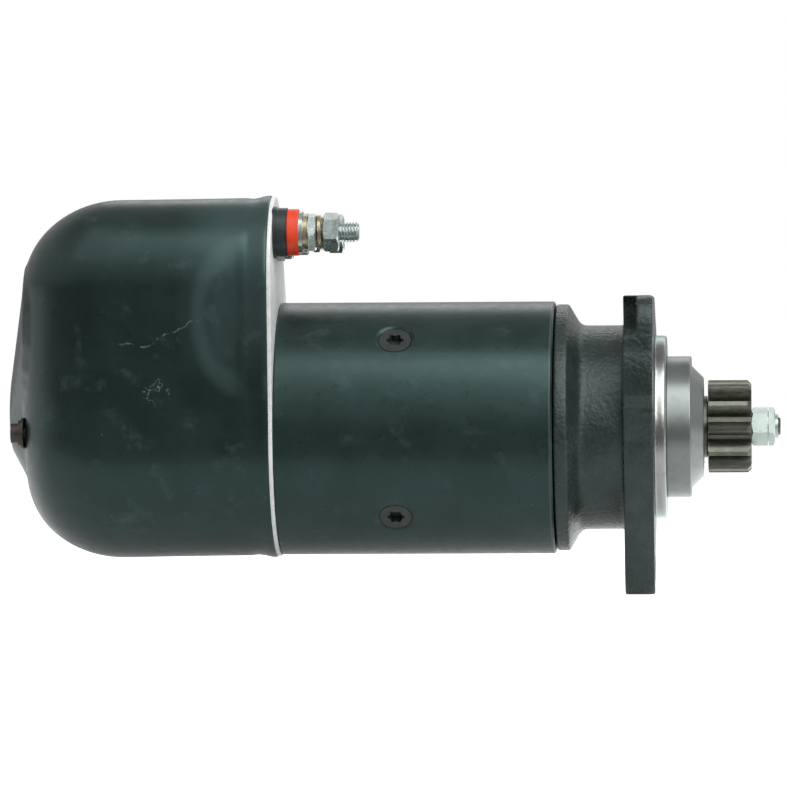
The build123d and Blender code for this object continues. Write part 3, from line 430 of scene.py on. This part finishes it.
def cast_aluminium():
    """Die-cast aluminium: pale, softly mottled, with dark pores."""
    paint = Paint("cast_aluminium")
    mottle = paint.ramp(paint.noise(5, detail=7, rough=0.65), 0.3, 0.7)
    tone = paint.blend(mottle, (0.7, 0.71, 0.7), (0.9, 0.91, 0.9))
    pores = paint.ramp(paint.noise(1.6, detail=4, rough=0.8), 0.645, 0.68)
    tone = paint.blend(pores, tone, (0.05, 0.06, 0.06))
    rough = paint.ramp(paint.noise(2, detail=5), 0.3, 0.7, 0.4, 0.6)
    paint.set(Base_Color=tone, Metallic=0.1, Roughness=rough)
    paint.bump(paint.noise(0.7, detail=5), 0.5, 0.08)
    return paint.material


def moulded(name, dark, light, rough=(0.32, 0.5)):
    """Moulded plastic or rubber: slightly uneven colour and a fine skin."""
    paint = Paint(name)
    tone = paint.blend(paint.ramp(paint.noise(4, detail=6), 0.3, 0.7), dark, light)
    paint.set(Base_Color=tone, Roughness=paint.ramp(paint.noise(1.5, detail=4), 0.3, 0.7, *rough))
    paint.bump(paint.noise(0.5, detail=3), 0.15, 0.03)
    return paint.material


def gear_steel():
    """Hardened gear steel: dark, brown-green oil film, brighter where it is worn."""
    paint = Paint("gear_steel")
    streak = paint.noise(0.7, detail=4, vector=paint.drawn_out(0.12))
    tone = paint.blend(paint.ramp(streak, 0.3, 0.7), (0.1, 0.1, 0.08), (0.2, 0.205, 0.175))
    oil = paint.ramp(paint.noise(5, detail=6), 0.45, 0.65, 0, 0.8)
    tone = paint.blend(oil, tone, (0.11, 0.115, 0.085))
    paint.set(Base_Color=tone, Metallic=0.9, Roughness=paint.ramp(streak, 0.3, 0.7, 0.3, 0.46))
    paint.bump(streak, 0.3, 0.03)
    return paint.material


def lamination_steel():
    """Soft iron cut from thin sheets, seen as fine lines across the axis."""
    paint = Paint("lamination_steel")
    wave = paint.node("ShaderNodeTexWave", bands_direction="X")
    paint.link(paint.place, wave.inputs["Vector"])
    wave.inputs["Scale"].default_value = 0.6
    tone = paint.blend(wave.outputs["Fac"], (0.13, 0.13, 0.14), (0.3, 0.3, 0.31))
    paint.set(Base_Color=tone, Metallic=0.9, Roughness=paint.ramp(paint.noise(2), 0.3, 0.7, 0.35, 0.55))
    return paint.material


MATERIALS = {
    "cast_paint": bracket_paint,
    "painted_steel": yoke_paint,
    "cover_paint": cover_paint,
    "machined_steel": lambda: turned_steel("machined_steel", (0.235, 0.255, 0.25), (0.275, 0.295, 0.285),
                                           (0.32, 0.38), (0.19, 0.2, 0.19), metal=0.85, pitch=0.25),
    "bearing_steel": lambda: turned_steel("bearing_steel", (0.35, 0.35, 0.36), (0.55, 0.55, 0.56)),
    "dark_steel": gear_steel,
    "core_iron": lamination_steel,
    "black_steel": lambda: turned_steel("black_steel", (0.03, 0.038, 0.036), (0.06, 0.07, 0.066),
                                        (0.3, 0.42), (0.02, 0.03, 0.03), metal=0.35),
    "rusty_steel": lambda: turned_steel("rusty_steel", (0.05, 0.045, 0.04), (0.11, 0.09, 0.08),
                                        (0.4, 0.6), (0.12, 0.06, 0.04), metal=0.6),
    "spring_steel": lambda: plated("spring_steel", (0.25, 0.26, 0.28), (0.42, 0.43, 0.45)),
    "zinc": lambda: plated("zinc", (0.42, 0.47, 0.46), (0.62, 0.68, 0.66),
                           (0.42, 0.5, 0.48), (0.2, 0.34), 0.8),
    "white_zinc": lambda: plated("white_zinc", (0.4, 0.46, 0.43), (0.52, 0.58, 0.54),
                                 None, (0.25, 0.4), 0.6),
    "yellow_zinc": lambda: plated("yellow_zinc", (0.40, 0.33, 0.19), (0.6, 0.52, 0.34),
                                  (0.46, 0.36, 0.28), (0.24, 0.4), 0.8),
    "cast_aluminium": cast_aluminium,
    "copper": lambda: plated("copper", (0.45, 0.2, 0.11), (0.7, 0.36, 0.22), None, (0.25, 0.45)),
    "bronze": lambda: plated("bronze", (0.35, 0.25, 0.12), (0.5, 0.36, 0.18), None, (0.3, 0.5)),
    "brass": lambda: plated("brass", (0.5, 0.4, 0.18), (0.66, 0.55, 0.28)),
    "black_plastic": lambda: moulded("black_plastic", (0.016, 0.021, 0.024), (0.03, 0.038, 0.042)),
    "red_plastic": lambda: moulded("red_plastic", (0.74, 0.045, 0.012), (0.88, 0.075, 0.022), (0.35, 0.5)),
    "phenolic": lambda: moulded("phenolic", (0.12, 0.06, 0.03), (0.22, 0.11, 0.05)),
    "carbon": lambda: moulded("carbon", (0.03, 0.03, 0.03), (0.09, 0.07, 0.06), (0.4, 0.6)),
    "friction": lambda: turned_steel("friction", (0.3, 0.22, 0.12), (0.45, 0.34, 0.2)),
    "rubber": lambda: moulded("rubber", (0.012, 0.012, 0.012), (0.024, 0.024, 0.024),
                              (0.55, 0.75)),
}
finishes = {slot: make() for slot, make in MATERIALS.items()}
OTHER_FINISHES = {"pinion_nut": "white_zinc", "control_terminal_bush": "cast_aluminium"}


def paint_nodes():
    """Give every CAD node the finish of its slot in the record."""
    for entry in frame["record"]["subparts"]:
        node = frame["nodes"][entry["node"]]
        finish = finishes[OTHER_FINISHES.get(entry["node"], entry["material_slot"])]
        if not node.data.materials:
            node.data.materials.append(finish)
        for index in range(len(node.material_slots)):
            node.material_slots[index].material = finish


# ---- Pieces in place of plain CAD solids --------------------------------------------------
def skin(name, rows, slot, body, replaced=None, cap_start=True, cap_end=True):
    """A mesh piece through closed loops of points in millimetres, shaded smooth between sharp edges."""
    bm = bmesh.new()
    loops = [[bm.verts.new(Vector(point) * MM) for point in row] for row in rows]
    for low, high in zip(loops, loops[1:]):
        for index in range(len(low)):
            after = (index + 1) % len(low)
            bm.faces.new((low[index], low[after], high[after], high[index]))
    if cap_start:
        bm.faces.new(reversed(loops[0]))
    if cap_end:
        bm.faces.new(loops[-1])
    bmesh.ops.remove_doubles(bm, verts=bm.verts, dist=WELD)
    bmesh.ops.recalc_face_normals(bm, faces=bm.faces)
    mesh = bpy.data.meshes.new(name)
    bm.to_mesh(mesh)
    bm.free()
    mesh.polygons.foreach_set("use_smooth", [True] * len(mesh.polygons))
    mesh.set_sharp_from_angle(angle=SMOOTH_BELOW)
    piece = bpy.data.objects.new(name, mesh)
    bpy.context.scene.collection.objects.link(piece)
    mesh.materials.append(finishes[slot])
    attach(piece, body)
    if replaced:
        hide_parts(replaced)
    return piece


def smoothstep(low, high, value):
    share = min(max((value - low) / (high - low), 0.0), 1.0)
    return share * share * (3 - 2 * share)


WELD, SMOOTH_BELOW = 1e-7, math.radians(40)
COVER_R, LOBE_R, LOBE = 63.8, 42.5, (-28.5, 73.5)
COVER_LIP_X, COVER_REAR_X = -190.4, -316.3
CORNER_IN, CORNER_LONG = 41.5, 48.7
COVER_WALL, COVER_LEAN = 1.5, math.radians(0.65)
INSET = 0.03
BOSS_TOP_X, BOSS_EDGE_X = -326.0, -315.4
BOSS_TOP, BOSS_EDGE = ((13.0, 11.0), 20.5, 20.0), ((0.9, 26.4), 65.7, 33.0)
BOSS_TILT, BOSS_SIDE, BOSS_ROUND = math.radians(120.5), 60, 1.8
DENT, DENT_X, DENT_Z, DENT_LONG, DENT_TALL, DENT_FRONT_X = 1.7, -199.0, 54.0, 27.0, 43.0, -202.0
WAVINESS, LEAN_START = 0.12, 25.0
SIDE_STEPS, CORNER_STEPS, WALL_STEPS, WALL_MIDDLE = 26, 22, 48, (-9.0, 24.0)
LIP_SHAPE = ((0.0, 0.2), (-0.3, 0.72), (-0.9, 0.98), (-2.0, 1.0), (-3.2, 0.85), (-4.6, 0.5), (-6.2, 0.1),
             (-8.0, -0.18), (-9.6, -0.38), (-11.0, -0.3), (-12.6, -0.1), (-14.5, 0.0))


def cover_outline(step=1.6):
    """Points round the cover as (centre y, centre z, radius, normal y, normal z)."""
    span = math.hypot(*LOBE)
    heading = math.atan2(LOBE[1], LOBE[0])
    touch = math.acos((COVER_R - LOBE_R) / span)
    places = []
    lobe_count = int(2 * touch * LOBE_R / step)
    for index in range(lobe_count):
        turn = heading - touch + 2 * touch * index / lobe_count
        places.append((*LOBE, LOBE_R, math.cos(turn), math.sin(turn)))
    straight = span * math.sin(touch)
    line_count = int(straight / step)
    for index in range(line_count):
        share, turn = index / line_count, heading + touch
        radius = LOBE_R + (COVER_R - LOBE_R) * share
        back = 1 - share
        places.append((LOBE[0] * back, LOBE[1] * back, radius, math.cos(turn), math.sin(turn)))
    main_count = int((2 * math.pi - 2 * touch) * COVER_R / step)
    for index in range(main_count):
        turn = heading + touch + (2 * math.pi - 2 * touch) * index / main_count
        places.append((0, 0, COVER_R, math.cos(turn), math.sin(turn)))
    for index in range(line_count):
        share, turn = index / line_count, heading - touch
        radius = COVER_R + (LOBE_R - COVER_R) * share
        places.append((LOBE[0] * share, LOBE[1] * share, radius, math.cos(turn), math.sin(turn)))
    return places


def boss_depth(y, z):
    """How far back the long boss stands at a point of the rear wall: a ramp between two ellipses."""
    low, high = 0.0, 4.0
    for _ in range(20):
        share = (low + high) / 2
        centre = [a + (b - a) * share for a, b in zip(BOSS_TOP[0], BOSS_EDGE[0])]
        long_r = BOSS_TOP[1] + (BOSS_EDGE[1] - BOSS_TOP[1]) * share
        short_r = BOSS_TOP[2] + (BOSS_EDGE[2] - BOSS_TOP[2]) * share
        dy, dz = y - centre[0], z - centre[1]
        along = dy * math.cos(BOSS_TILT) + dz * math.sin(BOSS_TILT)
        across = -dy * math.sin(BOSS_TILT) + dz * math.cos(BOSS_TILT)
        if (along / long_r) ** 2 + (across / short_r) ** 2 > 1:
            low = share
        else:
            high = share
    return BOSS_TOP_X + (BOSS_EDGE_X - BOSS_TOP_X) * high + BOSS_SIDE * max(high - 1, 0)


def soft_low(first, second, width):
    """The lower of two values, rounded over where they meet."""
    blend = min(max(0.5 + (second - first) / (2 * width), 0.0), 1.0)
    return second + (first - second) * blend - width * blend * (1 - blend)


def cover_stations():
    """Along the cover: x, how far the outline grows, and the share of the way to the wall's middle."""
    straight_end = COVER_REAR_X + CORNER_LONG
    stations = [(COVER_LIP_X + along, grow, 0.0) for along, grow in LIP_SHAPE]
    first = stations[-1][0]
    stations += [(first + (straight_end - first) * index / SIDE_STEPS, 0.0, 0.0)
                 for index in range(1, SIDE_STEPS)]
    for index in range(CORNER_STEPS + 1):
        turn = math.pi / 2 * index / CORNER_STEPS
        grow = -CORNER_IN * (1 - math.cos(turn))
        stations.append((straight_end - CORNER_LONG * math.sin(turn), grow, 0.0))
    return stations + [(COVER_REAR_X, -CORNER_IN, index / WALL_STEPS) for index in range(1, WALL_STEPS)]


def cover_point(x, y, z, ny, nz):
    """One point of the cover, dented, a little wavy, raised on the boss and leaning."""
    if ny < -0.3 and x > -230:
        reach = math.hypot((x - DENT_X) / DENT_LONG, (z - DENT_Z) / DENT_TALL)
        dent = DENT * smoothstep(1.0, 0.4, reach) * smoothstep(DENT_FRONT_X, DENT_FRONT_X - 3.5, x)
        y, z = y - ny * dent, z - nz * dent
    wavy = WAVINESS * noise.noise(Vector((x * 0.02, y * 0.03, z * 0.03)))
    y, z = y + ny * wavy, z + nz * wavy
    back = x
    if x < COVER_REAR_X + CORNER_LONG - 20:
        back = soft_low(x, boss_depth(y, z), BOSS_ROUND)
    lean = math.sin(COVER_LEAN)
    leant = (back + z * lean * smoothstep(0, LEAN_START, COVER_LIP_X - x), y, z + (x - COVER_LIP_X) * lean)
    return [min(max(value, low / MM + INSET), high / MM - INSET)
            for value, low, high in zip(leant, *cad_box)]


def cover_piece():
    """The pressed cover: rolled lip, joggle, a shallow dent by the lip, long corner and raised boss."""
    outline, rows = cover_outline(), []
    for x, grow, inwards in cover_stations():
        row = []
        for cy, cz, radius, ny, nz in outline:
            y, z = cy + ny * (radius + grow), cz + nz * (radius + grow)
            y, z = y + (WALL_MIDDLE[0] - y) * inwards, z + (WALL_MIDDLE[1] - z) * inwards
            row.append(cover_point(x, y, z, ny, nz))
        rows.append(row)
    piece = skin("rear_cover_shell", rows, "cover_paint", "housing", "rear_cover", cap_start=False)
    wall = piece.modifiers.new("wall", "SOLIDIFY")
    wall.thickness, wall.offset = COVER_WALL * MM, -1
    wall.use_even_offset = True


def threaded(centre, x_from, x_to, radius, pitch, around=40):
    """Loops of points along a threaded bar with a chamfered free end."""
    depth, rows = 0.6 * pitch, []
    count = int((x_to - x_from) / pitch * 8)
    for step in range(count + 1):
        x = x_from + (x_to - x_from) * step / count
        row = []
        for index in range(around):
            turn = 2 * math.pi * index / around
            share = (x / pitch - index / around) % 1
            crest = abs(2 * share - 1)
            r = radius - depth * min(max(crest * 1.25 - 0.12, 0), 1)
            r = min(r, radius - 1.0 + (x_to - x))
            row.append((x, centre[0] + r * math.cos(turn), centre[1] + r * math.sin(turn)))
        rows.append(row)
    return rows


def bar_rows(centre, x_from, x_to, radius, around=40):
    """The two end loops of a plain round bar."""
    return [[(x, centre[0] + radius * math.cos(2 * math.pi * index / around),
              centre[1] + radius * math.sin(2 * math.pi * index / around)) for index in range(around)]
            for x in (x_from, x_to)]


STUDS = (((-45.5, 98.0), -146.1), ((-11.5, 98.0), -148.6))
STUD_R, STUD_PITCH, STUD_COVERED_R, STUD_HEAD_R = 4.98, 1.5, 4.8, 8.5
STUD_REAR_X, STUD_HEAD_X, STUD_COVERED_X, STUD_THREAD_X = -208.0, -205.0, -189.0, -188.9
WASHER_X, WASHER_THICK, WASHER_R, WASHER_RISE, WASHER_CORNER = -167.05, 1.9, (5.25, 8.6), 1.3, 0.35
WASHER_STEPS, WASHER_GAP = 60, 5
RING_STEPS, RING_OUTER_R = 64, 11.65
RING_PROFILE = ((-181.55, 5.1), (-181.55, 11.4), (-181.3, RING_OUTER_R), (-176.1, RING_OUTER_R),
                (-175.85, 11.4), (-175.85, 5.1))
# Side, slot, and how far the ring's outer radius is reduced.
RINGS = (("near", "red_plastic", 0.0), ("far", "black_plastic", 1.6))
ROD_R, ROD_COLLAR_R, ROD_THREAD_R, ROD_PITCH = 4.5, 6.0, 4.88, 1.25
ROD_REAR_X, ROD_COLLAR_X, ROD_THREAD_X = -267.2, (-20.0, -16.0), (43.9, 44.0, 62.9)


def stud_pieces():
    """Both main studs: plain where they are hidden, threaded from the nuts to the free end."""
    for (centre, front_x), side in zip(STUDS, ("near", "far")):
        rows = bar_rows(centre, STUD_REAR_X, STUD_HEAD_X, STUD_HEAD_R)
        rows += bar_rows(centre, STUD_HEAD_X, STUD_COVERED_X, STUD_COVERED_R)
        rows += threaded(centre, STUD_THREAD_X, front_x, STUD_R, STUD_PITCH)
        skin(f"terminal_stud_{side}", rows, "zinc", "housing", "terminal_studs")


def spring_washer_pieces():
    """Split washers, their ends sprung a little apart."""
    (inner_r, outer_r), thick, corner = WASHER_R, WASHER_THICK, WASHER_CORNER
    section = ((inner_r + corner, 0), (outer_r - corner, 0), (outer_r, corner), (outer_r, thick - corner),
               (outer_r - corner, thick), (inner_r + corner, thick), (inner_r, thick - corner),
               (inner_r, corner))
    for (centre, _), side, start in zip(STUDS, ("near", "far"), (20, 60)):
        rows = []
        for index in range(WASHER_STEPS + 1):
            share = index / WASHER_STEPS
            turn = math.radians(start + WASHER_GAP + (360 - 2 * WASHER_GAP) * share)
            shift = WASHER_X + WASHER_RISE * share
            rows.append([(shift + along, centre[0] + r * math.cos(turn), centre[1] + r * math.sin(turn))
                         for r, along in section])
        skin(f"spring_washer_{side}", rows, "yellow_zinc", "housing", "terminal_spring_washers")


def marker_ring_pieces():
    """The raised ring behind each terminal's washers: red on the live one, black on the return."""
    for (centre, _), (side, slot, shrink) in zip(STUDS, RINGS):
        profile = [(x, min(r, RING_OUTER_R - shrink)) for x, r in RING_PROFILE]
        rows = []
        for index in range(RING_STEPS):
            turn = 2 * math.pi * index / RING_STEPS
            rows.append([(x, centre[0] + r * math.cos(turn), centre[1] + r * math.sin(turn))
                         for x, r in profile])
        rows.append(rows[0])
        skin(f"marker_ring_{side}", rows, slot, "housing", "terminal_marker_rings", False, False)


def rod_piece():
    """The engagement rod, threaded where the pinion's nut holds it."""
    plain_end, thread_start, front = ROD_THREAD_X
    rows = bar_rows((0, 0), ROD_REAR_X, ROD_COLLAR_X[0], ROD_R)
    rows += bar_rows((0, 0), *ROD_COLLAR_X, ROD_COLLAR_R)
    rows += bar_rows((0, 0), ROD_COLLAR_X[1], plain_end, ROD_R)
    rows += threaded((0, 0), thread_start, front, ROD_THREAD_R, ROD_PITCH)
    skin("engagement_rod_threaded", rows, "dark_steel", "drive_shaft", "engagement_rod")


BEVELS = {"nose_cap": 0.3, "pinion": 0.22, "drive_spindle": 0.2, "commutator_end_shield": 0.3,
          "terminal_flat_washers": 0.25, "terminal_contact_washers": 0.3, "terminal_insulators": 0.4,
          "cover_screw": 0.35, "cover_washer": 0.3, "pole_shoe_screws": 0.2,
          "control_terminal_nut": 0.15}
BEVEL_STEPS, BEVEL_ABOVE = 2, math.radians(38)
CAST_VOXEL, CAST_EASE, CAST_EASE_ROUNDS = 0.7, 0.5, 5


def soften_edges():
    """Round the turned and stamped pieces' edges a little, and give the bracket its cast skin."""
    for name, width in BEVELS.items():
        bevel = frame["nodes"][name].modifiers.new("edges", "BEVEL")
        bevel.width, bevel.segments = width * MM, BEVEL_STEPS
        bevel.limit_method, bevel.angle_limit = "ANGLE", BEVEL_ABOVE
    bracket = frame["nodes"]["drive_end_bracket"]
    cast = bracket.modifiers.new("cast", "REMESH")
    cast.mode, cast.voxel_size, cast.use_smooth_shade = "VOXEL", CAST_VOXEL * MM, True
    ease = bracket.modifiers.new("ease", "SMOOTH")
    ease.factor, ease.iterations = CAST_EASE, CAST_EASE_ROUNDS


make_camera()
make_stage()
for light in LIGHTS:
    area_light(*light)
paint_nodes()
cover_piece()
stud_pieces()
spring_washer_pieces()
marker_ring_pieces()
rod_piece()
soften_edges()
